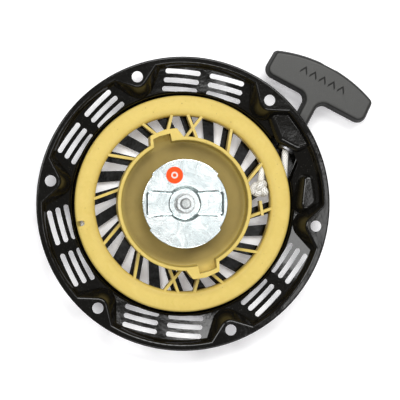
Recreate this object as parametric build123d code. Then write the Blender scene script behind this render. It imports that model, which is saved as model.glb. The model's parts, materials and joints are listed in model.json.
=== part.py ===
from build123d import *

import os
from math import asin, atan2, cos, degrees, hypot, pi, radians, sin, sqrt, tan

# Recoil starter of a small engine, in millimetres.
# +Z points at the engine. The origin is the centre of the circle of mounting
# holes, on the mounting plane. The dome of the cover points down.

# ---- Driving dimensions -------------------------------------------------

sheet = 1.5  # thickness of the pressed cover
through = 40.0  # length of a cut that has to pass right through

rim_radius = 119.0
bolt_circle_radius = 109.0
mount_hole_radius = 4.5
ear_count = 6
first_ear_deg = 50.0
ear_tip_radius = 8.0
ear_side_deg = 53.0
ear_reach = 134.0
ear_corner_radius = 5.0
ear_wall_slope_deg = 30.0
ear_depth = 16.0
ear_edge_radius = 2.6
flange_inner_radius = 113.6
lip_bottom_z = -3.6
lip_edge_radius = 1.3
bay_top = -5.6
bay_edge_radius = 5.5
lug_top = -6.4
lug_slope_deg = 36.0
lug_edge_radius = 2.6
lug_foot_z = -17.0
channel_floor = -26.4

cone_top = (111.4, -6.8)
cone_bottom = (90.6, -16.2)
bowl_floor_z = -29.5
dome_floor_z = -32.0
post_seat_z = -27.0

slot_width = 3.9
slot_length = 28.8
slot_gap = 7.6
slot_row_radii = (92.5, 99.4, 106.4)
slot_floor_z = -18.2
slotted_sectors = 5

grille_bars = 24
grille_inner_radius = 52.5
grille_outer_radius = 81.0
bar_edge_offsets = (23.2, 28.2)
bar_edge_directions_deg = (34.7, 46.0)

pull_deg = 62.2
guide_point = (86.2, 45.3)
rope_z = -17.0
rope_radius = 2.75
rope_clearance_radius = 3.3
guide_barrel_radius = 4.9
guide_bore_radius = 3.7

ring_outer_radius = 88.1
ring_inner_radius = 71.7
ring_top_z = -10.0
upper_flange = 3.5
lower_flange = 2.5
groove_width = 7.0
groove_root_radius = 74.0

hub_outer_radius = 54.0
hub_inner_radius = 51.0
hub_top_z = 9.0
hub_bottom_z = -28.0
cup_floor_z = -8.0
spring_ceiling_z = -12.5
pedestal_radius = 31.0
pedestal_top_z = 2.5
reel_bore_radius = 8.0
running_fit = 0.05

rib_width = 2.2
rib_bottom_z = -22.5

plate_radius = 35.8
plate_side_radius = 34.3
plate_top_z = 10.1
plate_thickness = 1.5
plate_side_from_deg = -35.5
plate_side_to_deg = 41.0
plate_edge_radius = 0.5
press_slope_deg = 24.0
press_corner_radius = 0.9
recess_depth = 3.4
centre_recess_depth = 5.1
centre_recess_radius = 12.4

pawl_pivot_radius = 25.0
pawl_pivot_deg = 62.0
pawl_tip_radius = 32.0
pawl_tip_deg = 130.0
pawl_bottom_z = 2.8
pawl_top_z = 8.2

post_tail_radius = 6.0
arbor_radius = 12.0
arbor_slot_width = 2.4
arbor_slot_depth = 6.0
arbor_slot_start = 8.4
plate_step_radius = 6.0
stud_top_z = 17.0

thread_radius = 4.0
nut_across_flats = 13.0
nut_height = 6.5

handle_gap = 3.6
grip_height = 18.0
grip_draft_deg = 13.0
bar_near_u = 44.7
bar_far_u = 76.0
bar_corner_u = 66.8
bar_length = 93.6
stem_width = 12.8
mark_centre_u = 62.5

pawl_post_radius = 3.0
pawl_post_bottom_z = -6.0
pawl_spring_pocket = 5.0
pawl_spring_floor_z = -0.9
friction_spring_pocket = 13.0
friction_pocket_floor_z = -3.0

spring_strip = 0.8
spring_height = 12.0
spring_middle_z = -20.2
spring_turns = 9
spring_inner_radius = 14.0
spring_outer_radius = 49.2

# ---- Helpers ------------------------------------------------------------


def polar(radius, angle_deg, z=0.0):
    """A point given by its distance and direction from the axis."""
    angle = radians(angle_deg)
    return Vector(radius * cos(angle), radius * sin(angle), z)


pull_direction = polar(1.0, pull_deg)
pull_right = polar(1.0, pull_deg - 90.0)


def pull_point(along, right, z=0.0):
    """A point in the handle's frame: distance from the rope guide along the
    pull, and distance to its right."""
    start = Vector(guide_point[0], guide_point[1], z)
    return start + pull_direction * along + pull_right * right


def pull_plane(along, height=rope_z):
    """The plane square to the pull, looking along it."""
    return Plane(pull_point(along, 0.0, height), x_dir=pull_right, z_dir=pull_direction)


def tube(plane, outer, inner, length):
    solid = extrude(plane * Circle(outer), length)
    if inner:
        solid -= extrude(plane * Circle(inner), length)
    return solid


def upright(outer, inner, bottom, top, centre=(0.0, 0.0)):
    """A round solid or ring with its axis along Z."""
    plane = Plane((centre[0], centre[1], bottom))
    return tube(plane, outer, inner, top - bottom)


def prism(points, bottom, top, corner=0.0):
    """An upright prism on a polygon of x, y points."""
    corners = [Vector(point) for point in points]
    face = make_face(Polyline(*[(p.X, p.Y) for p in corners], close=True))
    if corner:
        face = fillet(face.vertices(), corner)
    return extrude(Pos(0, 0, bottom) * face, top - bottom)


def turned(points, rounded=()):
    """A solid of revolution from r, z points. rounded holds (index, radius)
    pairs for the corners that are round."""
    face = make_face(Plane.XZ * Polyline(*points, close=True))
    for index, radius in rounded:
        r, z = points[index]
        corner = face.vertices().sort_by_distance(Vector(r, 0, z))[0]
        face = fillet(corner, radius)
    return revolve(face, Axis.Z)


def on_path(path, radius):
    """A round bar swept along a path of lines and arcs."""
    start = path.position_at(0)
    section = Plane(start, z_dir=path.tangent_at(0)) * Circle(radius)
    return sweep(section, path=path)


# ---- Cover --------------------------------------------------------------

# Inner face of the pressed sheet, from the post's seat out to the rim, and
# the bend radius at each inside corner.
cover_profile = [
    (0.0, post_seat_z),
    (16.0, post_seat_z),
    (20.5, dome_floor_z),
    (46.5, dome_floor_z),
    (50.5, bowl_floor_z),
    (89.8, bowl_floor_z),
    cone_bottom,
    cone_top,
    (flange_inner_radius, 0.0),
    (rim_radius - sheet, 0.0),
]
cover_bends = [2.5, 2.0, 2.0, 2.5, 5.0, 3.0, 2.0, 2.2]


def shifted_profile(points, distance):
    """The polyline moved sideways to its right, away from the engine."""
    lines = []
    for (r0, z0), (r1, z1) in zip(points, points[1:]):
        length = hypot(r1 - r0, z1 - z0)
        normal = ((z1 - z0) / length, (r0 - r1) / length)
        shift = (normal[0] * distance, normal[1] * distance)
        start = (r0 + shift[0], z0 + shift[1])
        lines.append((start, (r1 - r0, z1 - z0)))
    moved = [(points[0][0], points[0][1] - distance)]
    for (start, way), (other, other_way) in zip(lines, lines[1:]):
        cross = way[0] * other_way[1] - way[1] * other_way[0]
        gap = (other[0] - start[0], other[1] - start[1])
        share = (gap[0] * other_way[1] - gap[1] * other_way[0]) / cross
        moved.append((start[0] + way[0] * share, start[1] + way[1] * share))
    moved.append((points[-1][0], points[-1][1] - distance))
    return moved


def dish(points, bends, top):
    """The solid inside a profile, closed at the given height."""
    corners = list(points) + [(points[-1][0], top), (0.0, top)]
    corners = [p for i, p in enumerate(corners) if i == 0 or p != corners[i - 1]]
    rounded = list(zip(range(1, len(points) - 1), bends))
    return turned(corners, rounded)


def outer_bends(points, bends, distance):
    """Bend radii of the outer face, so that the sheet keeps its thickness."""
    radii = []
    for before, corner, after, bend in zip(points, points[1:], points[2:], bends):
        turn = (corner[0] - before[0]) * (after[1] - corner[1])
        turn -= (corner[1] - before[1]) * (after[0] - corner[0])
        radii.append(bend + distance if turn > 0 else bend - distance)
    return radii


def ear_recess(inset, top):
    """The pressed triangle that carries one mounting hole."""
    half_angle = radians(ear_side_deg)
    apex = bolt_circle_radius - (ear_tip_radius - inset) / sin(half_angle)
    half_width = (ear_reach - apex) * tan(half_angle)
    corners = [(apex, 0.0), (ear_reach, -half_width), (ear_reach, half_width)]
    outline = make_face(Polyline(*corners, close=True))
    tip = outline.vertices().sort_by(Axis.X)[0]
    outline = fillet(tip, ear_tip_radius - inset)
    outline = fillet(outline.vertices().sort_by(Axis.X)[-2:], ear_corner_radius - inset)
    depth = ear_depth + top
    sketch = Pos(0, 0, top) * outline
    pad = extrude(sketch, depth, dir=(0, 0, -1), taper=-ear_wall_slope_deg)
    edge_radius = ear_edge_radius - (sheet if inset else 0.0)
    return fillet(pad.edges().group_by(Axis.Z)[-1], edge_radius)


def handle_bay(inset, top):
    """The bay pressed in over the handle's stem."""
    corners = [
        pull_point(0.0, -10.5),
        pull_point(0.0, 8.5),
        pull_point(5.9, 14.5),
        polar(118.0, 24.0),
        polar(118.0, 46.0),
        pull_point(13.2, -25.5),
    ]
    face = make_face(Polyline(*[(p.X, p.Y) for p in corners], close=True))
    if inset:
        face = offset(face, -inset, kind=Kind.INTERSECTION)
    round_ends = face.vertices().sort_by(Axis((0, 0, 0), tuple(pull_direction)))[:3]
    face = fillet(round_ends, 5.0 if inset else 6.5)
    bay = extrude(Pos(0, 0, top) * face, through, dir=(0, 0, -1))
    edge_radius = bay_edge_radius - (sheet if inset else 0.0)
    return fillet(bay.edges().group_by(Axis.Z)[-1], edge_radius)


def stiffening_lug(inset, top):
    """The drop-shaped lug beside the rope's channel."""
    crown = Pos(102.6, 18.2) * Circle(3.0 - inset)
    foot = Pos(103.4, 2.4) * Circle(4.4 - inset)
    heel = Pos(100.6, -1.2) * Circle(3.2 - inset)
    outline = make_hull(crown.edges() + foot.edges() + heel.edges())
    sketch = Pos(0, 0, top) * outline
    lug = extrude(sketch, top - lug_foot_z, dir=(0, 0, -1), taper=-lug_slope_deg)
    edge_radius = lug_edge_radius - (sheet if inset else 0.0)
    return fillet(lug.edges().group_by(Axis.Z)[-1], edge_radius)


def rope_channel(outset, floor):
    """The deeper channel that lets the rope reach its guide."""
    corners = [
        (76.0, 8.0),
        (84.5, 8.0),
        (91.0, 22.0),
        (95.8, 33.5),
        (100.0, 45.0),
        (92.0, 56.0),
        (74.0, 56.0),
        (72.0, 48.0),
    ]
    face = make_face(Polyline(*corners, close=True))
    face = fillet(face.vertices(), 3.0)
    if outset:
        face = offset(face, outset)
    solid = extrude(Pos(0, 0, floor) * face, -12.0 - floor)
    low_edges = solid.edges().group_by(Axis.Z)[0]
    return fillet(low_edges, 2.0 + outset)


def slot_cutters():
    """Rows of long slots in the sloping shoulder, along arcs flatter than
    the shoulder itself."""
    cutters = []
    for sector in range(slotted_sectors):
        sector_deg = first_ear_deg + 30.0 + 60.0 * sector
        for row_radius in slot_row_radii:
            arc_radius = 2.0 * row_radius
            centre = polar(row_radius, sector_deg + 180.0)
            half_turn = degrees((slot_length - slot_width) / 2.0 / arc_radius)
            middle = degrees((slot_length + slot_gap) / 2.0 / arc_radius)
            for side in (-1, 1):
                start = sector_deg + side * middle - half_turn
                arc = CenterArc((centre.X, centre.Y), arc_radius, start, 2 * half_turn)
                slot = Pos(0, 0, slot_floor_z) * SlotArc(arc, slot_width)
                cutters.append(extrude(slot, -slot_floor_z))
    return cutters


def grille_cutters():
    """The swirled openings in the bottom of the bowl."""
    cutters = []
    for index in range(grille_bars):
        turn = index * 360.0 / grille_bars
        corners = []
        radii = (grille_inner_radius, grille_outer_radius)
        for edge in (0, 1):
            offset_mm = bar_edge_offsets[edge]
            way = bar_edge_directions_deg[edge] + turn
            ends = radii if edge == 0 else radii[::-1]
            for radius in ends:
                along = sqrt(radius * radius - offset_mm * offset_mm)
                point = polar(along, way) + polar(offset_mm, way - 90.0)
                corners.append((point.X, point.Y))
        cutters.append(prism(corners, bowl_floor_z - 5.0, bowl_floor_z + 4.0, 1.4))
    return cutters


def make_cover():
    outer_profile = shifted_profile(cover_profile, sheet)
    cavity = dish(cover_profile, cover_bends, 6.0)
    outer = dish(outer_profile, outer_bends(cover_profile, cover_bends, sheet), 0.0)

    cavity += rope_channel(0.0, channel_floor)
    outer += rope_channel(sheet, channel_floor - sheet)
    cavity -= handle_bay(0.0, bay_top)
    outer -= handle_bay(sheet, bay_top - sheet)
    slope = radians(lug_slope_deg)
    cavity -= stiffening_lug(0.0, lug_top)
    outer -= stiffening_lug(sheet * (1 - sin(slope)) / cos(slope), lug_top - sheet)
    slope = radians(ear_wall_slope_deg)
    ear_inset = sheet * (1 - sin(slope)) / cos(slope)
    for index in range(ear_count):
        turn = Rot(0, 0, first_ear_deg + index * 360.0 / ear_count)
        cavity -= turn * ear_recess(0.0, 0.0)
        outer -= turn * ear_recess(ear_inset, -sheet)

    cover = outer - cavity
    lip = upright(rim_radius, rim_radius - sheet, lip_bottom_z, 0.0)
    cover += fillet(lip.edges().group_by(Axis.Z)[-1].sort_by(Edge.length)[-1], lip_edge_radius)
    for index in range(ear_count):
        hole = polar(bolt_circle_radius, first_ear_deg + index * 360.0 / ear_count)
        cover -= upright(mount_hole_radius, 0, -5.0, 2.0, (hole.X, hole.Y))
    cover -= slot_cutters()
    cover -= grille_cutters()
    cover -= upright(post_tail_radius + running_fit, 0, dome_floor_z - 5.0, post_seat_z + 5.0)
    cover -= tube(pull_plane(-2.0), guide_barrel_radius + running_fit, 0, 6.0)
    return cover


# ---- Centre post and what is clamped on it ------------------------------

centre_floor_z = plate_top_z - centre_recess_depth
step_top_z = centre_floor_z + 0.1


def make_post():
    """Riveted to the cover: spring arbor, reel journal, plate step and stud."""
    head_bottom = dome_floor_z - 1.0
    journal = reel_bore_radius - running_fit
    profile = [
        (0.0, head_bottom),
        (9.0, head_bottom),
        (9.5, head_bottom + 0.8),
        (9.5, post_seat_z - 2 * sheet),
        (post_tail_radius, post_seat_z - 2 * sheet),
        (post_tail_radius, post_seat_z),
        (arbor_radius, post_seat_z),
        (arbor_radius, spring_ceiling_z - 0.1),
        (journal, spring_ceiling_z - 0.1),
        (journal, pedestal_top_z - 0.1),
        (plate_step_radius, pedestal_top_z - 0.1),
        (plate_step_radius, step_top_z),
        (thread_radius, step_top_z),
        (thread_radius, stud_top_z - 0.8),
        (thread_radius - 0.8, stud_top_z),
        (0.0, stud_top_z),
    ]
    post = turned(profile)
    slot = Box(arbor_slot_width, arbor_slot_depth, through, align=(Align.CENTER, Align.MIN, Align.CENTER))
    slot = Pos(0, arbor_slot_start, spring_middle_z) * slot
    floor = Box(60, 60, 20, align=(Align.CENTER, Align.CENTER, Align.MAX))
    ceiling = Box(60, 60, 40, align=(Align.CENTER, Align.CENTER, Align.MIN))
    slot -= Pos(0, 0, post_seat_z + 0.5) * floor
    slot -= Pos(0, 0, spring_ceiling_z - 0.1) * ceiling
    return post - slot


def make_post_washer():
    bottom = post_seat_z - 2 * sheet
    return upright(12.5, post_tail_radius + running_fit, bottom, bottom + sheet)


washer_height = 1.6
lock_washer_height = 2.0


def make_plain_washer():
    bottom = step_top_z
    ring = upright(8.5, thread_radius + 0.2, bottom, bottom + washer_height)
    return chamfer(ring.edges().filter_by(GeomType.CIRCLE).sort_by(Axis.Z)[-1], 0.2)


def make_lock_washer():
    """A split spring washer: a coil of one turn, seen as a ring with a slanted cut."""
    bottom = step_top_z + washer_height
    ring = upright(7.3, thread_radius + 0.1, bottom, bottom + lock_washer_height)
    gap = Rot(0, 0, 205.0) * Pos(6.0, 0, bottom + 1.0) * Rot(25.0, 0, 0) * Box(6.0, 0.9, 6.0)
    return ring - gap


def make_nut():
    bottom = step_top_z + washer_height + lock_washer_height
    corner_radius = nut_across_flats / 2.0 / cos(pi / 6.0)
    prism_sketch = RegularPolygon(corner_radius, 6, rotation=30)
    body = extrude(Pos(0, 0, bottom) * prism_sketch, nut_height)
    cone_height = 1.0
    limit = turned(
        [
            (0.0, bottom),
            (corner_radius - 0.6, bottom),
            (corner_radius + 0.2, bottom + cone_height),
            (corner_radius + 0.2, bottom + nut_height - cone_height),
            (corner_radius - 0.6, bottom + nut_height),
            (0.0, bottom + nut_height),
        ]
    )
    nut = body & limit
    return nut - upright(thread_radius, 0, bottom - 1.0, bottom + nut_height + 1.0)


# ---- Rope guide ---------------------------------------------------------


def make_rope_guide():
    """A turned eyelet, spun over on both sides of the bay's end wall."""
    flange_radius = 7.0
    inner_lip, outer_lip = -2.6, sheet + 1.5
    profile = [
        (guide_bore_radius, inner_lip),
        (flange_radius, inner_lip),
        (flange_radius, -0.05),
        (guide_barrel_radius, -0.05),
        (guide_barrel_radius, sheet + 0.05),
        (flange_radius - 0.4, sheet + 0.05),
        (flange_radius - 0.4, outer_lip),
        (guide_bore_radius, outer_lip),
    ]
    rounded = ((0, 1.4), (1, 1.1), (6, 0.6), (7, 0.6))
    eyelet = turned(profile, rounded)
    return pull_plane(0.0).location * eyelet


# ---- Rope ---------------------------------------------------------------

lower_turn_radius = groove_root_radius + rope_radius
upper_turn_radius = lower_turn_radius + 2 * rope_radius + 0.15
guide_bend_radius = 12.0
guide_bend_centre = pull_point(0.0, guide_bend_radius, rope_z)
guide_bend_reach = hypot(guide_bend_centre.X, guide_bend_centre.Y)
guide_bend_bearing = degrees(atan2(guide_bend_centre.Y, guide_bend_centre.X))
rope_reach = upper_turn_radius + guide_bend_radius
lead_deg = guide_bend_bearing + degrees(asin(rope_reach / guide_bend_reach))
leaving_deg = lead_deg - 90.0

climb_start_deg = leaving_deg + 1.5
climb_turn_deg = 28.0
climb_end_deg = climb_start_deg + climb_turn_deg
entry_deg = 30.0
entry_bend_radius = 9.0
knot_centre = Vector(63.2, 12.1, rope_z)
knot_radius = 6.9


def groove_entry_path():
    """From the knot through the groove's root wall onto the first turn."""
    centre = polar(lower_turn_radius - entry_bend_radius, entry_deg, rope_z)
    way = centre - knot_centre
    reach = way.length
    heading = degrees(atan2(way.Y, way.X)) - degrees(asin(entry_bend_radius / reach))
    run = sqrt(reach * reach - entry_bend_radius * entry_bend_radius)
    start = knot_centre + polar(knot_radius - 0.6, heading)
    bend_start = knot_centre + polar(run, heading)
    line = Line(start, bend_start)
    turn = entry_deg + 90.0 - heading
    bend = CenterArc(centre, entry_bend_radius, heading - 90.0, turn)
    return [line, bend]


def winding_path():
    """Two turns of rope in one plane, the second over the first."""
    climb_radius = lower_turn_radius - upper_turn_radius * cos(radians(climb_turn_deg))
    climb_radius /= 1.0 - cos(radians(climb_turn_deg))
    climb_run = (upper_turn_radius - climb_radius) * sin(radians(climb_turn_deg))
    axis_point = (0.0, 0.0, rope_z)
    first_sweep = climb_start_deg + 360.0 - entry_deg
    first = CenterArc(axis_point, lower_turn_radius, entry_deg, first_sweep)
    run_start = polar(lower_turn_radius, climb_start_deg, rope_z)
    run_end = run_start + polar(climb_run, climb_start_deg + 90.0)
    run = Line(run_start, run_end)
    climb_centre = polar(upper_turn_radius - climb_radius, climb_end_deg, rope_z)
    climb = CenterArc(climb_centre, climb_radius, climb_start_deg, climb_turn_deg)
    second_sweep = leaving_deg + 360.0 - climb_end_deg
    second = CenterArc(axis_point, upper_turn_radius, climb_end_deg, second_sweep)
    return [first, run, climb, second]


def make_reel_rope():
    return on_path(Wire(groove_entry_path() + winding_path()), rope_radius)


def make_lead_rope():
    """The span between the reel and the guide, bent into line with the pull."""
    start = polar(upper_turn_radius, leaving_deg, rope_z)
    bend_start = guide_bend_centre + polar(guide_bend_radius, lead_deg + 90.0)
    turn = pull_deg - lead_deg
    bend = CenterArc(guide_bend_centre, guide_bend_radius, lead_deg + 90.0, turn)
    return on_path(Wire([Line(start, bend_start), bend]), rope_radius)


def make_reel_knot():
    """An overhand knot and its short tail, beside the hub."""
    knot = Pos(*knot_centre) * Sphere(knot_radius)
    lobe_centre = knot_centre + Vector(-3.9, 2.1, 2.6)
    knot += Pos(*lobe_centre) * Sphere(4.4)
    tail_start = Plane(lobe_centre, z_dir=(-0.15, -0.75, 0.65))
    knot += extrude(tail_start * Circle(2.6), 9.0)
    knot -= on_path(Wire(groove_entry_path()), rope_radius)
    return knot.solids().sort_by(SortBy.VOLUME)[-1]


# ---- Reel ---------------------------------------------------------------

ring_bottom_z = ring_top_z - upper_flange - groove_width - lower_flange
rib_pitch_deg = 30.0
plain_rib_first_deg = 17.0
rib_lean_deg = 9.6
plain_ribs = (0, 1, 2, 4, 5, 6, 7, 8, 10, 11)
notch_start_deg = 90.3
notch_outer_radius = 61.0
notch_inner_radius = 57.6


def rib(hub_radius, hub_deg, ring_radius, ring_deg):
    """A thin upright rib between two points given in polar form."""
    start = polar(hub_radius, hub_deg)
    way = polar(ring_radius, ring_deg) - start
    heading = degrees(atan2(way.Y, way.X))
    length = way.length
    hub_z, ring_z = ring_top_z + 3.0, ring_top_z - 0.8
    side = [(0.0, rib_bottom_z), (length, rib_bottom_z), (length, ring_z), (0.0, hub_z)]
    face = make_face(Plane.XZ * Polyline(*side, close=True))
    wall = extrude(face, rib_width / 2.0, both=True)
    return Pos(start.X, start.Y, 0) * Rot(0, 0, heading) * wall


def reel_ribs():
    in_hub, in_ring = hub_outer_radius - 1.0, ring_inner_radius + 1.0
    ribs = []
    for index in plain_ribs:
        start = plain_rib_first_deg + rib_pitch_deg * index
        ribs.append(rib(in_hub, start, in_ring, start + rib_lean_deg))
    for turn in (0.0, 180.0):
        ribs.append(rib(notch_outer_radius - 1.0, 111.0 + turn, in_ring, 116.5 + turn))
        ribs.append(rib(notch_outer_radius - 1.0, 102.0 + turn, in_ring, 97.0 + turn))
        ribs.append(rib(in_hub, 88.5 + turn, in_ring, 77.5 + turn))
    pocket_rib = rib(65.3, -8.8, 63.4, 1.8)
    return ribs + [pocket_rib]


def notch_outline(first_deg, last_deg, outer, inner, lean_deg):
    """A step in the hub wall, square at its start and sloped at its end."""
    middle = (first_deg + last_deg) / 2.0
    return [
        polar(inner, first_deg),
        polar(outer, first_deg + lean_deg[0]),
        polar(outer / cos(radians((last_deg - first_deg) / 4.0)), middle),
        polar(outer, last_deg - lean_deg[1]),
        polar(inner, last_deg),
    ]


def make_reel_hub():
    """The cup that holds the pawls, with the mainspring's room under it."""
    hub = turned(
        [
            (reel_bore_radius, spring_ceiling_z),
            (hub_inner_radius - 0.1, spring_ceiling_z),
            (hub_inner_radius - 0.1, hub_bottom_z),
            (hub_outer_radius, hub_bottom_z),
            (hub_outer_radius, hub_top_z),
            (hub_inner_radius, hub_top_z),
            (hub_inner_radius, cup_floor_z),
            (pedestal_radius, cup_floor_z),
            (pedestal_radius, pedestal_top_z),
            (friction_spring_pocket, pedestal_top_z),
            (friction_spring_pocket, friction_pocket_floor_z),
            (reel_bore_radius, friction_pocket_floor_z),
        ],
        ((4, 0.9), (5, 0.9), (6, 2.0), (7, 1.5)),
    )
    for turn in (0.0, 180.0):
        first = notch_start_deg + turn
        block = notch_outline(first, first + 30.6, notch_outer_radius, 53.0, (5.6, 4.0))
        hub += prism(block, ring_bottom_z, hub_top_z, 1.2)
    for turn in (0.0, 180.0):
        first = notch_start_deg + 11.2 + turn
        recess = notch_outline(first, first + 18.6, notch_inner_radius, 49.0, (0.0, 4.0))
        hub -= prism(recess, cup_floor_z, hub_top_z + 5.0, 0.8)
    for turn in (0.0, 180.0):
        pivot = polar(pawl_pivot_radius, pawl_pivot_deg + turn)
        centre = (pivot.X, pivot.Y)
        hub -= upright(pawl_post_radius + running_fit, 0, pawl_post_bottom_z, 10.0, centre)
        hub -= upright(pawl_spring_pocket, 0, pawl_spring_floor_z, 10.0, centre)
    hook_notch = Pos(0, hub_inner_radius, spring_middle_z) * Box(5.0, 3.0, spring_height + 2.0)
    return hub - hook_notch


def make_reel_rim(hub):
    """The grooved ring that carries the rope, and the ribs out to it."""
    groove_top = ring_top_z - upper_flange
    rim = turned(
        [
            (ring_inner_radius, ring_top_z),
            (ring_outer_radius, ring_top_z),
            (ring_outer_radius, groove_top),
            (groove_root_radius, groove_top),
            (groove_root_radius, ring_bottom_z + lower_flange),
            (ring_outer_radius, ring_bottom_z + lower_flange),
            (ring_outer_radius, ring_bottom_z),
            (ring_inner_radius, ring_bottom_z),
        ],
        ((0, 3.2), (1, 2.2), (2, 0.6), (5, 0.6), (6, 1.6)),
    )
    rim += reel_ribs()
    rim -= hub
    rim -= upright(hub_outer_radius, 0, hub_bottom_z, hub_top_z)
    ring_slot = Pos(ring_outer_radius + 1.0, 0, ring_top_z - 1.0) * Box(15.0, 4.4, 10.0)
    ring_slot = fillet(ring_slot.edges().filter_by(Axis.Z), 2.0)
    rim -= Rot(0, 0, 190.6) * ring_slot
    first_turn = winding_path()[0].trim(0.0, 0.12)
    rim -= on_path(Wire(groove_entry_path() + [first_turn]), rope_clearance_radius)
    return rim


# ---- Springs ------------------------------------------------------------


def make_mainspring():
    """A flat spiral of half circles, hooked on the arbor and in the reel."""
    steps = 2 * spring_turns
    growth = (spring_outer_radius - spring_inner_radius) / (steps - 1)
    shift = growth / 2.0
    half = spring_strip / 2.0
    chains = {-half: [], half: []}
    for index in range(steps):
        radius = spring_inner_radius + index * growth
        upper = index % 2 == 0
        centre = (0.0, -shift if upper else shift)
        for side, chain in chains.items():
            chain.append(CenterArc(centre, radius + side, 90.0 if upper else -90.0, 180.0))
    caps = []
    for end, place in ((0, 0), (-1, 1)):
        caps.append(Line(chains[-half][end] @ place, chains[half][end] @ place))
    strip = make_face(Wire(chains[-half] + chains[half] + caps))
    start = spring_inner_radius - shift
    finish = spring_outer_radius + shift
    inner_hook = Pos(0, start - 1.6) * Rectangle(spring_strip, 5.0)
    outer_hook = Pos(0, finish + 0.9) * Rectangle(spring_strip, 2.6)
    bottom = spring_middle_z - spring_height / 2.0
    outline = strip + inner_hook + outer_hook
    return extrude(Pos(0, 0, bottom) * outline, spring_height)


def make_spring_retainer():
    """The thin ring that keeps the mainspring in the reel."""
    top = spring_middle_z - spring_height / 2.0 - 0.3
    return upright(hub_inner_radius - 0.4, 21.0, top - 0.8, top)


def coil(wire_radius, coil_radius, bottom, pitch, turns, centre=(0.0, 0.0)):
    """A wire coil with its axis along Z."""
    path = Helix(pitch, pitch * turns, coil_radius, center=(centre[0], centre[1], bottom))
    section = Plane(path @ 0, z_dir=path % 0) * Circle(wire_radius)
    return sweep(section, path=path, is_frenet=True)


def make_friction_spring():
    wire = 0.8
    bottom = friction_pocket_floor_z + wire + 0.1
    top = centre_floor_z - plate_thickness - wire - 0.4
    turns = 2.5
    return coil(wire, 10.4, bottom, (top - bottom) / turns, turns)


def make_pawl_spring(turn):
    wire = 0.4
    pivot = polar(pawl_pivot_radius, pawl_pivot_deg + turn)
    bottom = pawl_spring_floor_z + wire + 0.1
    return coil(wire, 4.1, bottom, 0.95, 2.4, (pivot.X, pivot.Y))


# ---- Pawls and the plate that throws them out ---------------------------


def make_pawl(turn):
    """A steel pawl with its pivot post. Its tip leads in the pulling turn."""
    pivot = polar(pawl_pivot_radius, pawl_pivot_deg)
    tip = polar(pawl_tip_radius, pawl_tip_deg)
    heel = Pos(pivot.X, pivot.Y) * Circle(5.8)
    nose = Pos(tip.X, tip.Y) * Circle(2.0)
    outline = make_hull(heel.edges() + nose.edges())
    body = extrude(Pos(0, 0, pawl_bottom_z) * outline, pawl_top_z - pawl_bottom_z)
    body = fillet(body.edges().group_by(Axis.Z)[-1], 0.6)
    centre = (pivot.X, pivot.Y)
    body += upright(pawl_post_radius, 0, pawl_post_bottom_z + 0.4, pawl_bottom_z, centre)
    return Rot(0, 0, turn) * body


def sector(outer, inner, first_deg, last_deg, bottom, top):
    """Part of a ring between two directions."""
    ring = upright(outer, inner, bottom, top)
    far = outer * 2.0
    wedge = [(0.0, 0.0)]
    steps = 4
    for index in range(steps + 1):
        point = polar(far, first_deg + (last_deg - first_deg) * index / steps)
        wedge.append((point.X, point.Y))
    return ring & prism(wedge, bottom - 1.0, top + 1.0)


def tie_outline(grow):
    """Bow-tie outline of the pressed rib across the plate."""
    half_length, waist, end = 29.8 + grow, 8.4 + grow, 9.6 + grow
    corners = []
    for side_x, side_y in ((1, 1), (-1, 1), (-1, -1), (1, -1)):
        corner = (side_x * half_length, side_y * end)
        middle = (side_x * centre_recess_radius * 0.9, side_y * waist)
        corners += [corner, middle] if side_x * side_y > 0 else [middle, corner]
    face = make_face(Polyline(*corners, close=True))
    return fillet(face.vertices(), 2.5 + grow)


def centre_outline(grow):
    """Outline of the round well that takes the washers and the nut."""
    return Circle(centre_recess_radius + grow)


def make_guide_plate():
    """The bright pressed disc. Its turned-down sides throw the pawls out."""
    bottom = plate_top_z - plate_thickness
    plate = upright(plate_side_radius, 0, bottom, plate_top_z)
    right_side = (plate_side_from_deg, plate_side_to_deg)
    left_side = (180.0 - plate_side_to_deg, 180.0 - plate_side_from_deg)
    upper_brim = (right_side[1], left_side[0])
    lower_brim = (left_side[1], 360.0 + right_side[0])
    for first, last in (upper_brim, lower_brim):
        plate += sector(plate_radius, 20.0, first, last, bottom, plate_top_z)
    plate = fillet(plate.edges().group_by(Axis.Z)[-1], plate_edge_radius)
    inner = plate_side_radius - plate_thickness
    for first, last in (right_side, left_side):
        plate += sector(plate_side_radius, inner, first, last, pawl_bottom_z + 0.5, bottom + 0.5)

    slope = radians(press_slope_deg)
    wall = plate_thickness * (1 - sin(slope)) / cos(slope)
    for depth, outline in ((recess_depth, tie_outline), (centre_recess_depth, centre_outline)):
        floor = Pos(0, 0, plate_top_z - depth - plate_thickness) * outline(wall)
        height = depth + plate_thickness - 0.3
        plate += extrude(floor, height, taper=-press_slope_deg)
    hollows = []
    for depth, outline in ((recess_depth, tie_outline), (centre_recess_depth, centre_outline)):
        floor = Pos(0, 0, plate_top_z - depth) * outline(0.0)
        hollow = extrude(floor, depth + 3.0, taper=-press_slope_deg)
        hollows.append(fillet(hollow.edges().group_by(Axis.Z)[0], press_corner_radius))
    for hollow in hollows:
        plate -= hollow
    bore = plate_step_radius + running_fit
    return plate - upright(bore, 0, -5.0, plate_top_z + 5.0)


def make_inspection_sticker():
    centre = (-8.4, 22.9)
    return upright(6.8, 0, plate_top_z, plate_top_z + 0.2, centre)


# ---- Handle -------------------------------------------------------------

handle_bore_radius = 3.1
knot_recess_radius = 6.8
knot_recess_u = 52.0
handle_knot_radius = 5.9
grip_edge_radius = 2.4
chevrons = 5
chevron_pitch = 8.6
chevron_half_width = 3.1
chevron_half_height = 3.6
chevron_stroke = 2.4
chevron_depth = 0.8


def handle_sketch_plane(z=0.0):
    """x runs to the right of the pull and y along it."""
    return Plane(pull_point(0.0, 0.0, z), x_dir=pull_right, z_dir=(0, 0, 1))


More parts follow.
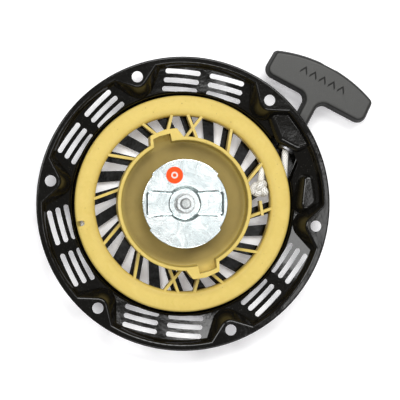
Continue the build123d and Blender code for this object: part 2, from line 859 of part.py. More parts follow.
def grip_outline():
    """Outline of the T at the mould's parting plane."""
    half_stem, half_bar = stem_width / 2.0, bar_length / 2.0
    corner = half_bar - 0.9
    outer_bow = ThreePointArc((corner, bar_corner_u), (0.0, bar_far_u), (-corner, bar_corner_u))
    points = [
        (-corner, bar_corner_u),
        (-half_bar, bar_near_u),
        (-half_stem, bar_near_u),
        (-half_stem, handle_gap),
        (half_stem, handle_gap),
        (half_stem, bar_near_u),
        (half_bar, bar_near_u),
        (corner, bar_corner_u),
    ]
    face = make_face(Wire([outer_bow] + Polyline(*points).edges()))
    radii = {
        (corner, bar_corner_u): 4.6,
        (half_bar, bar_near_u): 8.0,
        (half_stem, bar_near_u): 6.5,
        (half_stem, handle_gap): 4.5,
    }
    for (across, along), radius in radii.items():
        for side in (-1, 1):
            place = Vector(side * across, along, 0)
            corner_vertex = face.vertices().sort_by_distance(place)[0]
            face = fillet(corner_vertex, radius)
    return face


def make_handle_grip():
    """A moulded T grip with one flat top, parted at its middle plane."""
    outline = handle_sketch_plane(rope_z) * grip_outline()
    half = grip_height / 2.0
    grip = None
    for way in (1, -1):
        shell = extrude(outline, half, dir=(0, 0, way), taper=grip_draft_deg)
        face_edges = shell.edges().group_by(Axis.Z)[-1 if way > 0 else 0]
        shell = fillet(face_edges, grip_edge_radius)
        grip = shell if grip is None else grip + shell

    grip -= tube(pull_plane(0.0), handle_bore_radius, 0, knot_recess_u + 1.0)
    grip -= tube(pull_plane(knot_recess_u), knot_recess_radius, 0, through)
    top = rope_z + half
    for index in range(chevrons):
        middle = (index - (chevrons - 1) / 2.0) * chevron_pitch
        low, high = mark_centre_u - chevron_half_height, mark_centre_u + chevron_half_height
        corners = [
            (middle - chevron_half_width, low),
            (middle, high - chevron_stroke),
            (middle + chevron_half_width, low),
            (middle + chevron_half_width, low + chevron_stroke),
            (middle, high),
            (middle - chevron_half_width, low + chevron_stroke),
        ]
        mark = make_face(Polyline(*corners, close=True))
        grip -= extrude(handle_sketch_plane(top - chevron_depth) * mark, 2.0)
    return grip


def make_handle_rope():
    return tube(pull_plane(0.0), rope_radius, 0, knot_recess_u + 3.4)


def make_handle_washer():
    return tube(pull_plane(knot_recess_u), knot_recess_radius - 0.3, rope_radius + 0.3, 1.5)


def make_handle_knot():
    centre = pull_point(knot_recess_u + 1.8 + handle_knot_radius, 0.0, rope_z)
    knot = Pos(*centre) * Sphere(handle_knot_radius)
    return knot - make_handle_rope()


# ---- Parts --------------------------------------------------------------

reel_hub = make_reel_hub()

parts = {
    "housing_cover": make_cover(),
    "centre_post": make_post(),
    "post_washer": make_post_washer(),
    "rope_guide": make_rope_guide(),
    "mainspring": make_mainspring(),
    "spring_retainer": make_spring_retainer(),
    "reel_hub": reel_hub,
    "reel_rim": make_reel_rim(reel_hub),
    "reel_rope": make_reel_rope(),
    "reel_knot": make_reel_knot(),
    "lead_rope": make_lead_rope(),
    "pawl_a": make_pawl(0.0),
    "pawl_b": make_pawl(180.0),
    "pawl_spring_a": make_pawl_spring(0.0),
    "pawl_spring_b": make_pawl_spring(180.0),
    "friction_spring": make_friction_spring(),
    "guide_plate": make_guide_plate(),
    "plain_washer": make_plain_washer(),
    "lock_washer": make_lock_washer(),
    "stud_nut": make_nut(),
    "inspection_sticker": make_inspection_sticker(),
    "handle_grip": make_handle_grip(),
    "handle_rope": make_handle_rope(),
    "handle_washer": make_handle_washer(),
    "handle_knot": make_handle_knot(),
}

os.makedirs("parts", exist_ok=True)
for name, shape in parts.items():
    export_step(shape, f"parts/{name}.step")
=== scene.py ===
import json
import math

import bpy
import numpy as np
from mathutils import Matrix, Vector


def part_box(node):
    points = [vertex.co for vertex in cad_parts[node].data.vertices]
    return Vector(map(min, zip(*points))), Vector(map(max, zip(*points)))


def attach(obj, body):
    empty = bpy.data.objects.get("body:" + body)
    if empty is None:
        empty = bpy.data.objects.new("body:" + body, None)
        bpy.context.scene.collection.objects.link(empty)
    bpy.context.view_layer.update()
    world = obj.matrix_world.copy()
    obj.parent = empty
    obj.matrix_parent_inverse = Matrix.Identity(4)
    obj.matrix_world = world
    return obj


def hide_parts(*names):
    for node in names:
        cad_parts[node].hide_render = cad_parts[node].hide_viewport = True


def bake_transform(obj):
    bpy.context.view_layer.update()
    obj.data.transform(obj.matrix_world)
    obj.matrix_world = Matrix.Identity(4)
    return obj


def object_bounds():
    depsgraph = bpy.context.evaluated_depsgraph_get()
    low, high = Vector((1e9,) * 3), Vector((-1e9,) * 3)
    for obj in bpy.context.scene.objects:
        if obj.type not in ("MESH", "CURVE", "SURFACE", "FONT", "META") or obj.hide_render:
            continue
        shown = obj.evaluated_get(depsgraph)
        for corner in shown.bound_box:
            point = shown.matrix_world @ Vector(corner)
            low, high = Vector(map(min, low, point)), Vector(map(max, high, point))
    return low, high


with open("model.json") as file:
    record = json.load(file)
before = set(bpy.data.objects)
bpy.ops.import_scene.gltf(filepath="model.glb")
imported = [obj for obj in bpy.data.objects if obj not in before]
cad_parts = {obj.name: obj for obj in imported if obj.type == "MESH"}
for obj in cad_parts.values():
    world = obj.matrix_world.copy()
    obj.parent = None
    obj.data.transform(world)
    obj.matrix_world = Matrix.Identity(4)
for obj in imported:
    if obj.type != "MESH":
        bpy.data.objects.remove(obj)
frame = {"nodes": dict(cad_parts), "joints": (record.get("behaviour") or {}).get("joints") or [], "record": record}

cad_bounds = [list(corner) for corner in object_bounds()]
nodes = frame["nodes"]
joints = {joint["name"]: joint for joint in frame["joints"]}
scene = bpy.context.scene

# ---- Camera -------------------------------------------------------------

CAMERA_PLACE = Vector((-0.105, 0.0, 1.307))
CAMERA_TARGET = Vector((0.0128, 0.0029, 0.0))
CAMERA_LENS = 146.2
CAMERA_ROLL_DEG = 0.33

camera_data = bpy.data.cameras.new("camera")
camera_data.lens = CAMERA_LENS
camera_data.sensor_width = 36.0
camera_data.clip_end = 20.0
camera = bpy.data.objects.new("camera", camera_data)
scene.collection.objects.link(camera)
looking = (CAMERA_TARGET - CAMERA_PLACE).normalized()
right = looking.cross(Vector((0.0, 1.0, 0.0))).normalized()
up = right.cross(looking)
turn = Matrix((right, up, -looking)).transposed()
roll = Matrix.Rotation(math.radians(-CAMERA_ROLL_DEG), 3, "Z")
camera.matrix_world = Matrix.Translation(CAMERA_PLACE) @ (turn @ roll).to_4x4()
scene.camera = camera

# ---- Node helpers -------------------------------------------------------


def new_material(name):
    """A material with an empty shader, its node tree and its Principled node."""
    material = bpy.data.materials.new(name)
    material.use_nodes = True
    tree = material.node_tree
    return material, tree, tree.nodes["Principled BSDF"]


def coordinates(tree, stretch=(1.0, 1.0, 1.0), shift=(0.0, 0.0, 0.0)):
    """Object coordinates in metres, stretched and then shifted."""
    source = tree.nodes.new("ShaderNodeTexCoord")
    mapping = tree.nodes.new("ShaderNodeMapping")
    mapping.inputs["Scale"].default_value = stretch
    mapping.inputs["Location"].default_value = shift
    tree.links.new(source.outputs["Object"], mapping.inputs["Vector"])
    return mapping.outputs["Vector"]


def noise(tree, vector, scale, detail=3.0, rough=0.55, distort=0.0):
    node = tree.nodes.new("ShaderNodeTexNoise")
    node.inputs["Scale"].default_value = scale
    node.inputs["Detail"].default_value = detail
    node.inputs["Roughness"].default_value = rough
    node.inputs["Distortion"].default_value = distort
    tree.links.new(vector, node.inputs["Vector"])
    return node.outputs["Fac"]


def ramp(tree, value, stops):
    """A ramp of greys from (position, grey) stops."""
    node = tree.nodes.new("ShaderNodeValToRGB")
    elements = node.color_ramp.elements
    while len(elements) < len(stops):
        elements.new(0.5)
    for element, (position, grey) in zip(elements, stops):
        element.position = position
        element.color = (grey, grey, grey, 1.0)
    tree.links.new(value, node.inputs["Fac"])
    return node.outputs["Color"]


def mix(tree, share, first, second):
    """From the first colour to the second as share goes from 0 to 1."""
    node = tree.nodes.new("ShaderNodeMix")
    node.data_type = "RGBA"
    factor, first_socket, second_socket = (node.inputs[index] for index in (0, 6, 7))
    tree.links.new(share, factor)
    for socket, value in ((first_socket, first), (second_socket, second)):
        if hasattr(value, "links"):
            tree.links.new(value, socket)
        else:
            socket.default_value = (*value, 1.0)
    return node.outputs[2]


def maths(tree, operation, first, second=0.0):
    node = tree.nodes.new("ShaderNodeMath")
    node.operation = operation
    for socket, value in ((node.inputs[0], first), (node.inputs[1], second)):
        if hasattr(value, "links"):
            tree.links.new(value, socket)
        else:
            socket.default_value = value
    return node.outputs[0]


def from_axis(tree, place):
    """Distance from the z axis, and height, of a place."""
    split = tree.nodes.new("ShaderNodeSeparateXYZ")
    tree.links.new(place, split.inputs["Vector"])
    x, y, z = split.outputs
    squares = maths(tree, "ADD", maths(tree, "MULTIPLY", x, x), maths(tree, "MULTIPLY", y, y))
    return maths(tree, "SQRT", squares), z


def below_top(tree, top, z, skin):
    """0 down to the first depth of skin under a top, 1 from the second on."""
    drop = maths(tree, "MULTIPLY", maths(tree, "SUBTRACT", top, z), MAGNIFIED)
    first, second = skin
    return ramp(tree, drop, ((first * MAGNIFIED, 0.0), (second * MAGNIFIED, 1.0)))


def bump(tree, shader, height, distance, strength, below=None):
    """Relief on a shader, laid over the relief below it."""
    node = tree.nodes.new("ShaderNodeBump")
    node.inputs["Distance"].default_value = distance
    node.inputs["Strength"].default_value = strength
    tree.links.new(height, node.inputs["Height"])
    if below is not None:
        tree.links.new(below, node.inputs["Normal"])
    tree.links.new(node.outputs["Normal"], shader.inputs["Normal"])
    return node.outputs["Normal"]


# ---- Materials ----------------------------------------------------------

# Radii and heights, in metres, at which the painted shade and the label's printed ring change.
CUP_WALL = (0.0495, 0.0525)
CUP_FLOOR = -0.008
CUP_MOUTH = 0.007
RING_INNER = (0.0700, 0.0718, 0.0770)
RING_OUTER = (0.0840, 0.0881)
HANDLE_SHADE_DEPTHS = (0.00012, 0.00055)
NUT_SHADE_DEPTHS = (0.0002, 0.0009)
NUT_BORE = 0.0043
NUT_BORE_EDGE = 0.0003
LABEL_RING_RADIUS = 0.0021
LABEL_RING_HALF_WIDTH = 0.00062
ABOVE_ZERO = 0.5  # lifts heights clear of a ramp's lower end
MAGNIFIED = 100.0  # spreads small lengths over a ramp


def make_black_paint():
    """Stoved gloss black on pressed steel: slight orange peel, fine dust,
    and faint handling haze."""
    material, tree, shader = new_material("black_paint")
    place = coordinates(tree)
    haze = noise(tree, place, 26.0, 4.0, 0.6, 0.4)
    dust = noise(tree, place, 1500.0, 1.0, 0.5)
    smears = noise(tree, coordinates(tree, (1.0, 3.0, 1.0)), 60.0, 5.0, 0.7, 1.2)
    specks = ramp(tree, dust, ((0.70, 0.0), (0.76, 1.0)))
    base = mix(tree, haze, (0.0026, 0.0024, 0.0020), (0.0060, 0.0055, 0.0046))
    colour = mix(tree, maths(tree, "MULTIPLY", specks, 0.22), base, (0.16, 0.15, 0.13))
    tree.links.new(colour, shader.inputs["Base Color"])
    gloss = ramp(tree, smears, ((0.30, 0.06), (0.75, 0.17)))
    rough = maths(tree, "ADD", gloss, maths(tree, "MULTIPLY", specks, 0.3))
    tree.links.new(rough, shader.inputs["Roughness"])
    shader.inputs["Specular IOR Level"].default_value = 0.32
    peel = noise(tree, place, 420.0, 2.0, 0.5)
    waves = noise(tree, place, 48.0, 1.0, 0.4)
    first = bump(tree, shader, waves, 0.0011, 0.4)
    bump(tree, shader, peel, 0.00008, 0.6, first)
    return material


def make_tan_plastic():
    """Moulded tan nylon: cloudy flow marks, satin skin, a few dark specks,
    and painted shade in the cup and along both rounded edges of the ring."""
    material, tree, shader = new_material("tan_plastic")
    place = coordinates(tree)
    cloud = noise(tree, place, 22.0, 5.0, 0.6, 0.8)
    flow = noise(tree, coordinates(tree, (1.0, 1.0, 4.0)), 90.0, 4.0, 0.65, 1.5)
    grain = noise(tree, place, 2600.0, 2.0, 0.6)
    specks = ramp(tree, noise(tree, place, 520.0, 1.0, 0.4), ((0.735, 0.0), (0.765, 1.0)))
    first = mix(tree, cloud, (0.520, 0.385, 0.085), (0.600, 0.458, 0.118))
    second = mix(tree, ramp(tree, flow, ((0.35, 0.0), (0.75, 0.5))), first, (0.65, 0.505, 0.155))
    speckled = mix(tree, maths(tree, "MULTIPLY", specks, 0.45), second, (0.16, 0.11, 0.04))
    # Painted shade: darker towards the cup's floor, patchy with the cloud.
    reach, z = from_axis(tree, place)
    inside = ramp(tree, reach, tuple(zip(CUP_WALL, (1.0, 0.0))))
    depths = ((ABOVE_ZERO + CUP_FLOOR, 1.0), (ABOVE_ZERO + CUP_MOUTH, 0.25))
    shade_by_depth = ramp(tree, maths(tree, "ADD", z, ABOVE_ZERO), depths)
    uneven = maths(tree, "MULTIPLY", shade_by_depth, ramp(tree, cloud, ((0.2, 0.62), (0.8, 0.9))))
    cup_shade = maths(tree, "MULTIPLY", inside, uneven)
    # Painted shade along both rounded edges of the ring.
    ring_edge_shade = ramp(tree, reach, tuple(zip(RING_INNER + RING_OUTER, (0.0, 0.42, 0.0, 0.0, 0.22))))
    ring_edges_shaded = mix(tree, ring_edge_shade, speckled, (0.32, 0.215, 0.045))
    colour = mix(tree, cup_shade, ring_edges_shaded, (0.150, 0.104, 0.022))
    tree.links.new(colour, shader.inputs["Base Color"])
    tree.links.new(ramp(tree, flow, ((0.25, 0.40), (0.8, 0.56))), shader.inputs["Roughness"])
    shader.inputs["Specular IOR Level"].default_value = 0.30
    shader.inputs["Subsurface Weight"].default_value = 0.06
    shader.inputs["Subsurface Radius"].default_value = (0.004, 0.002, 0.001)
    shader.inputs["Subsurface Scale"].default_value = 0.5
    below = bump(tree, shader, cloud, 0.0005, 0.25)
    bump(tree, shader, grain, 0.00004, 0.6, below)
    return material


def make_plated(name, dark, light, rough, tint=(0.80, 0.90, 0.93), shaded_below=None):
    """Plated steel: cloudy patches, fine scratches and a cold tint. Painted
    shade darkens it just below the given height and inside the nut's bore."""
    material, tree, shader = new_material(name)
    place = coordinates(tree)
    patches = noise(tree, place, 55.0, 6.0, 0.7, 1.6)
    spangle = noise(tree, place, 700.0, 3.0, 0.6)
    lines = noise(tree, coordinates(tree, (60.0, 4.0, 4.0)), 40.0, 3.0, 0.6)
    cross = noise(tree, coordinates(tree, (3.0, 70.0, 4.0)), 36.0, 3.0, 0.6)
    scratches = maths(tree, "MULTIPLY", ramp(tree, lines, ((0.60, 0.0), (0.72, 1.0))), 0.35)
    base = mix(tree, ramp(tree, patches, ((0.38, 0.0), (0.68, 1.0))), light, dark)
    tinted = mix(tree, ramp(tree, spangle, ((0.45, 0.0), (0.8, 0.35))), base, tint)
    colour = mix(tree, scratches, tinted, dark)
    if shaded_below is not None:
        # Painted shade on the nut: dark below its top and inside its bore.
        reach, z = from_axis(tree, place)
        low = below_top(tree, shaded_below, z, NUT_SHADE_DEPTHS)
        bore = (NUT_BORE * MAGNIFIED, (NUT_BORE + NUT_BORE_EDGE) * MAGNIFIED)
        inner = ramp(tree, maths(tree, "MULTIPLY", reach, MAGNIFIED), tuple(zip(bore, (1.0, 0.0))))
        nut_shade = maths(tree, "MULTIPLY", maths(tree, "MAXIMUM", low, inner), 0.92)
        colour = mix(tree, nut_shade, colour, (0.030, 0.028, 0.030))
    tree.links.new(colour, shader.inputs["Base Color"])
    shader.inputs["Metallic"].default_value = 1.0
    span = ramp(tree, patches, ((0.30, rough * 0.75), (0.75, rough * 1.45)))
    dulled = maths(tree, "ADD", span, maths(tree, "MULTIPLY", scratches, 0.25))
    tree.links.new(dulled, shader.inputs["Roughness"])
    below = bump(tree, shader, patches, 0.0006, 0.18)
    below = bump(tree, shader, cross, 0.00003, 0.4, below)
    bump(tree, shader, spangle, 0.00003, 0.4, below)
    return material


def make_dark_plastic():
    """Dark grey moulded plastic with a fine spark-eroded grain, and painted
    shade on the handle's flanks and in its recessed marks."""
    material, tree, shader = new_material("dark_plastic")
    place = coordinates(tree)
    grain = noise(tree, place, 2100.0, 3.0, 0.65)
    patches = noise(tree, place, 40.0, 4.0, 0.6, 0.5)
    rubbed = noise(tree, coordinates(tree, (4.0, 1.0, 1.0)), 120.0, 4.0, 0.7, 0.8)
    scuffs = ramp(tree, rubbed, ((0.62, 0.0), (0.78, 1.0)))
    base = mix(tree, patches, (0.020, 0.020, 0.018), (0.034, 0.034, 0.031))
    speckled = mix(tree, ramp(tree, grain, ((0.35, 0.0), (0.8, 0.5))), base, (0.060, 0.060, 0.055))
    worn = mix(tree, maths(tree, "MULTIPLY", scuffs, 0.3), speckled, (0.10, 0.10, 0.09))
    # Painted shade: darker below the handle's top, on its flanks and in its recessed marks.
    z = from_axis(tree, place)[1]
    shade_by_depth = below_top(tree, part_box("handle_grip")[1].z, z, HANDLE_SHADE_DEPTHS)
    colour = mix(tree, maths(tree, "MULTIPLY", shade_by_depth, 0.85), worn, (0.004, 0.004, 0.0035))
    tree.links.new(colour, shader.inputs["Base Color"])
    skin = ramp(tree, patches, ((0.3, 0.40), (0.75, 0.50)))
    rough = maths(tree, "ADD", skin, maths(tree, "MULTIPLY", shade_by_depth, 0.35))
    tree.links.new(rough, shader.inputs["Roughness"])
    shader.inputs["Specular IOR Level"].default_value = 0.45
    below = bump(tree, shader, patches, 0.0004, 0.2)
    bump(tree, shader, grain, 0.00009, 0.7, below)
    return material


def make_rope_fibre():
    """White braided nylon: fine filaments, with painted shade between strands."""
    material, tree, shader = new_material("rope_fibre")
    place = coordinates(tree)
    fibre = noise(tree, coordinates(tree, (1.0, 0.25, 1.0)), 3800.0, 2.0, 0.6)
    soil = noise(tree, place, 130.0, 4.0, 0.65, 0.5)
    crossing = tree.nodes.new("ShaderNodeAttribute")
    crossing.attribute_name = "braid_height"
    lay = crossing.outputs["Fac"]
    clean = mix(tree, soil, (0.80, 0.785, 0.735), (0.93, 0.92, 0.875))
    # Painted shade: darker where the braid dips between strands.
    strands = mix(tree, ramp(tree, lay, ((0.22, 1.0), (0.70, 0.0))), clean, (0.17, 0.155, 0.13))
    colour = mix(tree, ramp(tree, fibre, ((0.3, 0.18), (0.75, 0.0))), strands, (0.36, 0.34, 0.30))
    tree.links.new(colour, shader.inputs["Base Color"])
    tree.links.new(ramp(tree, fibre, ((0.3, 0.78), (0.7, 0.60))), shader.inputs["Roughness"])
    shader.inputs["Sheen Weight"].default_value = 0.25
    shader.inputs["Sheen Roughness"].default_value = 0.4
    bump(tree, shader, fibre, 0.00008, 0.8)
    return material


def make_label():
    """Orange paper dot with a plain white ring and paper grain."""
    material, tree, shader = new_material("orange_label")
    low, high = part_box("inspection_sticker")
    middle = (low + high) * 0.5
    reach = from_axis(tree, coordinates(tree, shift=(-middle.x, -middle.y, 0.0)))[0]
    off_ring = maths(tree, "ABSOLUTE", maths(tree, "SUBTRACT", reach, LABEL_RING_RADIUS))
    ring = maths(tree, "LESS_THAN", off_ring, LABEL_RING_HALF_WIDTH)
    fibre = noise(tree, coordinates(tree), 1900.0, 3.0, 0.6)
    worn = noise(tree, coordinates(tree), 420.0, 4.0, 0.7)
    orange = mix(tree, fibre, (0.72, 0.055, 0.004), (0.80, 0.085, 0.010))
    pale = mix(tree, worn, (0.55, 0.52, 0.48), (0.70, 0.68, 0.65))
    tree.links.new(mix(tree, ring, orange, pale), shader.inputs["Base Color"])
    tree.links.new(ramp(tree, worn, ((0.3, 0.38), (0.8, 0.58))), shader.inputs["Roughness"])
    shader.inputs["Specular IOR Level"].default_value = 0.12
    bump(tree, shader, fibre, 0.00003, 0.5)
    return material


black_paint = make_black_paint()
tan_plastic = make_tan_plastic()
bright_plate = make_plated("bright_plate", (0.62, 0.70, 0.71), (0.93, 0.98, 0.97), 0.12)
zinc_steel = make_plated("zinc_steel", (0.40, 0.42, 0.41), (0.66, 0.68, 0.67), 0.22)
NUT_DARK, NUT_LIGHT, NUT_ROUGH = (0.60, 0.64, 0.64), (0.86, 0.89, 0.89), 0.14
nut_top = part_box("stud_nut")[1].z
nut_steel = make_plated("nut_steel", NUT_DARK, NUT_LIGHT, NUT_ROUGH)
oiled_steel = make_plated("oiled_steel", NUT_DARK, NUT_LIGHT, NUT_ROUGH, shaded_below=nut_top)
BLACK_TINT, BLUE_TINT = (0.3, 0.3, 0.32), (0.36, 0.38, 0.46)
hard_steel = make_plated("hard_steel", (0.16, 0.16, 0.17), (0.34, 0.34, 0.35), 0.32, BLACK_TINT)
spring_steel = make_plated("spring_steel", (0.20, 0.17, 0.13), (0.42, 0.40, 0.36), 0.28, BLUE_TINT)
dark_plastic = make_dark_plastic()
rope_fibre = make_rope_fibre()
orange_label = make_label()

looks = {
    "black_paint": black_paint,
    "tan_plastic": tan_plastic,
    "bright_plate": bright_plate,
    "zinc_steel": zinc_steel,
    "nut_steel": oiled_steel,
    "hard_steel": hard_steel,
    "spring_steel": spring_steel,
    "dark_plastic": dark_plastic,
    "rope": rope_fibre,
    "orange_label": orange_label,
}
for entry in frame["record"]["subparts"]:
    node = nodes[entry["node"]]
    node.data.materials.clear()
    node.data.materials.append(looks[entry["material_slot"]])
# The rope guide takes the darker hard steel, which dims its glint.
nodes["rope_guide"].data.materials[0] = hard_steel

# ---- Rope ---------------------------------------------------------------

ROPE_RADIUS = 0.00275
BRAID_STRANDS = 8
BRAID_PITCH = 0.0026
BRAID_DEPTH = 0.00055
BRAID_ROUNDNESS = 0.6
CAP_STEPS = ((0.8, 0.45), (0.4, 0.8), (0.02, 0.9))  # width, and way out
CAP_LENGTH = 0.45
FINE_STEP = 0.0004
COARSE_STEP = 0.0006

slide = joints["handle_pull"]
pull = Vector(slide["axis"]).normalized()
across = Vector((pull.y, -pull.x, 0.0))
PULL_RANGE = slide["range_m"][1]
EYELET_MIDDLE = 0.0002  # the eyelet's middle lies this far out from the bend's end

guide_low, guide_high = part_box("rope_guide")
guide_point = (guide_low + guide_high) * 0.5 - pull * EYELET_MIDDLE


def braid(angle, along):
    """Height of the braid, 0 to 1, over angle and length."""
    round_it = angle * BRAID_STRANDS / (2.0 * math.pi)
    first = round_it + along / BRAID_PITCH
    second = round_it - along / BRAID_PITCH
    rise_a = np.sin(math.pi * (first - np.floor(first))) ** BRAID_ROUNDNESS
    rise_b = np.sin(math.pi * (second - np.floor(second))) ** BRAID_ROUNDNESS
    over = (np.floor(first) + np.floor(second)) % 2 < 0.5
    on_top = np.where(over, rise_a, rise_b)
    beside = np.where(over, rise_b, rise_a)
    return on_top * (0.5 + 0.5 * beside)


def rope_mesh(name, points, around=32, lay=None, radius=ROPE_RADIUS, ends=1.0):
    """A braided rope along a line of points, with rounded ends."""
    points = np.array(points, dtype=float)
    steps = np.linalg.norm(np.diff(points, axis=0), axis=1)
    if lay is None:
        lay = np.concatenate(([0.0], np.cumsum(steps)))
    ways = np.gradient(points, axis=0)
    ways /= np.linalg.norm(ways, axis=1)[:, None]
    side = np.cross(ways[0], (0.0, 0.0, 1.0))
    if np.linalg.norm(side) < 0.1:
        side = np.array((1.0, 0.0, 0.0))
    angles = np.arange(around) * 2.0 * math.pi / around
    rings, heights = [], []
    for place, way, length in zip(points, ways, lay):
        side = side - way * side.dot(way)
        side /= np.linalg.norm(side)
        other = np.cross(way, side)
        height = braid(angles, length)
        reach = radius - BRAID_DEPTH * (1.0 - height)
        ring = np.outer(reach * np.cos(angles), side) + np.outer(reach * np.sin(angles), other)
        rings.append(place + ring)
        heights.append(height)
    for end, inner in ((0, 1), (-1, -2)):
        middle = points[end]
        out = points[end] - points[inner]
        out /= max(np.linalg.norm(out), 1e-9)
        reach = radius * CAP_LENGTH * ends
        spokes = rings[end] - middle
        caps = [middle + spokes * share + out * push * reach for share, push in CAP_STEPS]
        shaded = [heights[end] * 0.5] * len(caps)
        if end == 0:
            rings = caps[::-1] + rings
            heights = shaded + heights
        else:
            rings += caps
            heights += shaded
    vertices = np.concatenate(rings)
    faces = []
    for row in range(len(rings) - 1):
        base = row * around
        for column in range(around):
            after = (column + 1) % around
            near, far = base + column, base + after
            faces.append((near, far, far + around, near + around))
    mesh = bpy.data.meshes.new(name)
    mesh.from_pydata([tuple(v) for v in vertices], [], faces)
    height_layer = mesh.attributes.new("braid_height", "FLOAT", "POINT")
    height_layer.data.foreach_set("value", np.concatenate(heights).astype(np.float32))
    mesh.polygons.foreach_set("use_smooth", [True] * len(mesh.polygons))
    mesh.materials.append(rope_fibre)
    rope = bpy.data.objects.new(name, mesh)
    scene.collection.objects.link(rope)
    return rope


def arc(centre, radius, first_deg, sweep_deg, step=FINE_STEP):
    """Points round a level arc."""
    count = max(8, int(abs(math.radians(sweep_deg)) * radius / step))
    turn = np.radians(first_deg + sweep_deg * np.linspace(0.0, 1.0, count))
    x, y, z = centre
    return [(x + radius * math.cos(t), y + radius * math.sin(t), z) for t in turn]


def straight(first, last):
    """Points along a straight line."""
    count = max(3, int((Vector(last) - Vector(first)).length / FINE_STEP))
    return [tuple(Vector(first).lerp(Vector(last), i / count)) for i in range(count + 1)]


def joined(*runs):
    """One line of points from several, without repeated ends."""
    points = list(runs[0])
    for run in runs[1:]:
        points += list(run)[1:]
    return points


def eased(share):
    """A share from 0 to 1 that starts and ends level."""
    return share * share * (3.0 - 2.0 * share)


def polar(radius, angle_deg, z):
    """A point at a radius and an angle about the z axis."""
    angle = math.radians(angle_deg)
    return (radius * math.cos(angle), radius * math.sin(angle), z)


wound_low, wound_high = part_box("reel_rope")
rope_z = (wound_low.z + wound_high.z) * 0.5
outer_lay = (wound_high.x - wound_low.x) * 0.5 - ROPE_RADIUS
LAY_GAP = 0.00015
inner_lay = outer_lay - 2.0 * ROPE_RADIUS - LAY_GAP
BEND_RADIUS = 0.012
bend_centre = guide_point + across * BEND_RADIUS
bend_reach = math.hypot(bend_centre.x, bend_centre.y)
bearing = math.degrees(math.atan2(bend_centre.y, bend_centre.x))
lead_deg = bearing + math.degrees(math.asin((outer_lay + BEND_RADIUS) / bend_reach))
leaving_deg = lead_deg - 90.0
pull_deg = math.degrees(math.atan2(pull.y, pull.x))

# The lead rope leaves the winding, runs straight to the guide and bends into it.
off_reel = polar(outer_lay, leaving_deg, rope_z)
bend_in = polar(BEND_RADIUS, lead_deg + 90.0, 0.0)
bend_start = (bend_centre.x + bend_in[0], bend_centre.y + bend_in[1], rope_z)
bend_axis = (bend_centre.x, bend_centre.y, rope_z)
lead_path = joined(
    straight(off_reel, bend_start),
    arc(bend_axis, BEND_RADIUS, lead_deg + 90.0, pull_deg - lead_deg),
)
lead = rope_mesh("lead_rope_braid", lead_path, 40, ends=0.3)
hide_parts("lead_rope")
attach(lead, "housing")

# The wound rope: an inner turn, a climb on to it, and an outer turn.
CLIMB_DEG = 28.0
CLIMB_POINTS = 60
ENTRY_DEG = 30.0
reel_middle = (0, 0, rope_z)
climb_start = leaving_deg + 1.5
climb_end = climb_start + CLIMB_DEG
inner_turn = arc(reel_middle, inner_lay, ENTRY_DEG, climb_start + 360.0 - ENTRY_DEG, COARSE_STEP)
climb = []
for share in np.linspace(0.0, 1.0, CLIMB_POINTS):
    radius = inner_lay + (outer_lay - inner_lay) * eased(share)
    climb.append(polar(radius, climb_start + CLIMB_DEG * share, rope_z))
outer_turn = arc(reel_middle, outer_lay, climb_end, leaving_deg + 360.0 - climb_end, COARSE_STEP)
wound = rope_mesh("reel_rope_braid", joined(inner_turn, climb, outer_turn), 24, ends=0.2)
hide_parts("reel_rope")
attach(wound, "reel")

# The pulled rope. The part that a pull draws out starts as a tight stack of
# rings in the eyelet, spaced so that they come out even.
STACK_START = 0.0004
STACK_END = 0.0032
RING_SPACING = 0.00065
TAIL_STEP = 0.0005
ROPE_START = (0.0, 0.0002)
rope_low, rope_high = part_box("handle_rope")
far = max((Vector(corner) - guide_point).dot(pull) for corner in (rope_low, rope_high))
far -= ROPE_RADIUS * 0.7
drawn = np.linspace(STACK_START, STACK_END + PULL_RANGE, int(PULL_RANGE / RING_SPACING))
trial = np.linspace(STACK_START, STACK_END, 20001)
pulled_out = trial + eased((trial - STACK_START) / (STACK_END - STACK_START)) * PULL_RANGE
stack = np.interp(drawn, pulled_out, trial)
tail = np.arange(STACK_END + TAIL_STEP, far, TAIL_STEP)
distance = np.concatenate((ROPE_START, stack, tail))
lay = np.concatenate((ROPE_START, drawn, tail + PULL_RANGE))
rope_start = Vector((guide_point.x, guide_point.y, rope_z))
path = [tuple(rope_start + pull * d) for d in distance]
pulled = rope_mesh("pull_rope_braid", path, 24, lay, ends=0.1)
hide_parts("handle_rope")
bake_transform(pulled)

# ---- Knots --------------------------------------------------------------

KNOT_POINTS = 190
KNOT_CLOSURE = 0.985  # share of the closed line that the rope follows
KNOT_HEIGHT = 0.62
KNOT_ROPE = 1.12  # rope radius in a knot against the free rope's
TAIL_ROPE = 0.9


def rotated(angle_deg, axis):
    return Matrix.Rotation(math.radians(angle_deg), 3, axis)


def knot(name, centre, reach, turn):
    """A tight overhand knot: the rope follows a closed three-lobed line."""
    core = reach - ROPE_RADIUS * 0.95
    line = []
    for t in np.linspace(0.0, 2.0 * math.pi * KNOT_CLOSURE, KNOT_POINTS):
        x = (math.sin(t) + 2.0 * math.sin(2.0 * t)) / 3.0
        y = (math.cos(t) - 2.0 * math.cos(2.0 * t)) / 3.0
        z = -math.sin(3.0 * t) * KNOT_HEIGHT
        line.append(tuple(centre + turn @ (Vector((x, y, z)) * core)))
    return rope_mesh(name, line, 40, radius=ROPE_RADIUS * KNOT_ROPE)


